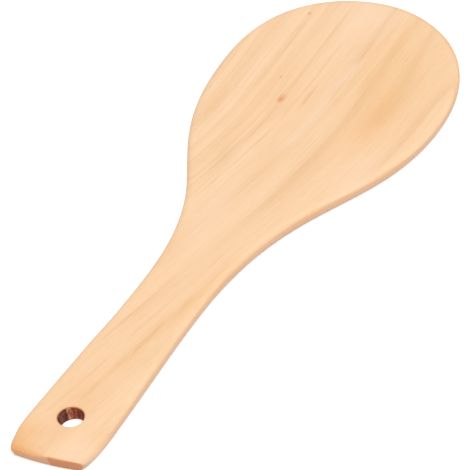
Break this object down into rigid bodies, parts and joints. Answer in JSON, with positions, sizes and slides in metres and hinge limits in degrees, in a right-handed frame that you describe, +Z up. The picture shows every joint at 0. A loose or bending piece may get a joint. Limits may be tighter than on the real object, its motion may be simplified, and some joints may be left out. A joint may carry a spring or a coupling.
{
  "type": "rice paddle",
  "caption": "Flat wooden rice paddle: a broad egg-shaped blade that draws in to a waisted handle with a hole to hang it by, for scooping and serving cooked rice.",
  "frame": {"origin": "middle of the paddle's box, on its flat underside", "axes": "+X along the paddle from the handle's sawn end to the blade's tip, +Y across it, +Z up out of the upper face"},
  "size_m": [0.229, 0.081, 0.005],
  "materials": {
    "wood": "sanded smooth and left unvarnished, pale peach with faint grain"
  },
  "bodies": {
    "root": {"paddle": "wood"}
  },
  "joints": []
}
